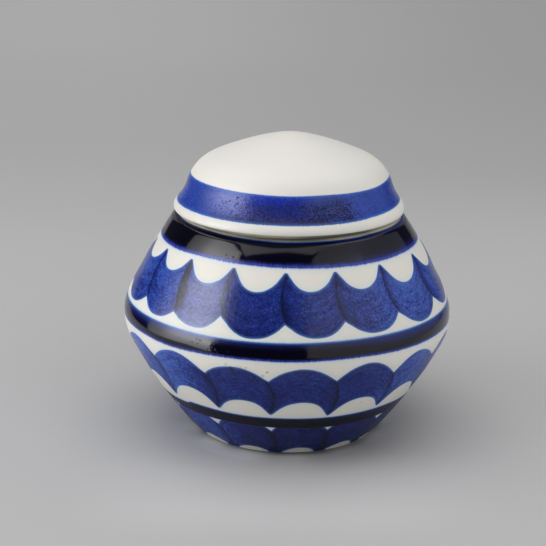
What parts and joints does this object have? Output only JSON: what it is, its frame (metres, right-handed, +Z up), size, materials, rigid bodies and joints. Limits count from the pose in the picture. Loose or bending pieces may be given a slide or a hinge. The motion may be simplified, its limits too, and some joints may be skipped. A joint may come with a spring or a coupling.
{
  "type": "lidded ceramic jar",
  "caption": "Round double-cone glazed ceramic jar with a loose dome lid, painted with blue bands and scallops, used as a covered yarn bowl.",
  "frame": {"origin": "centre of the foot ring, on the plane the jar stands on", "axes": "+Z up along the axis of revolution, from the foot to the crown of the lid"},
  "size_m": [0.15, 0.15, 0.1378],
  "materials": {
    "jar_glaze": "gloss, hand-painted blue bands and scallops over a warm white glaze, unglazed foot ring",
    "lid_glaze": "satin, warm white glaze with one painted blue band"
  },
  "bodies": {
    "jar": {"jar": "jar_glaze"},
    "lid": {"lid": "lid_glaze"}
  },
  "joints": [
    {"name": "lid_lift", "type": "slide", "parent": "jar", "child": "lid", "axis": [0, 0, 1], "range_m": [0, 0.12]}
  ]
}
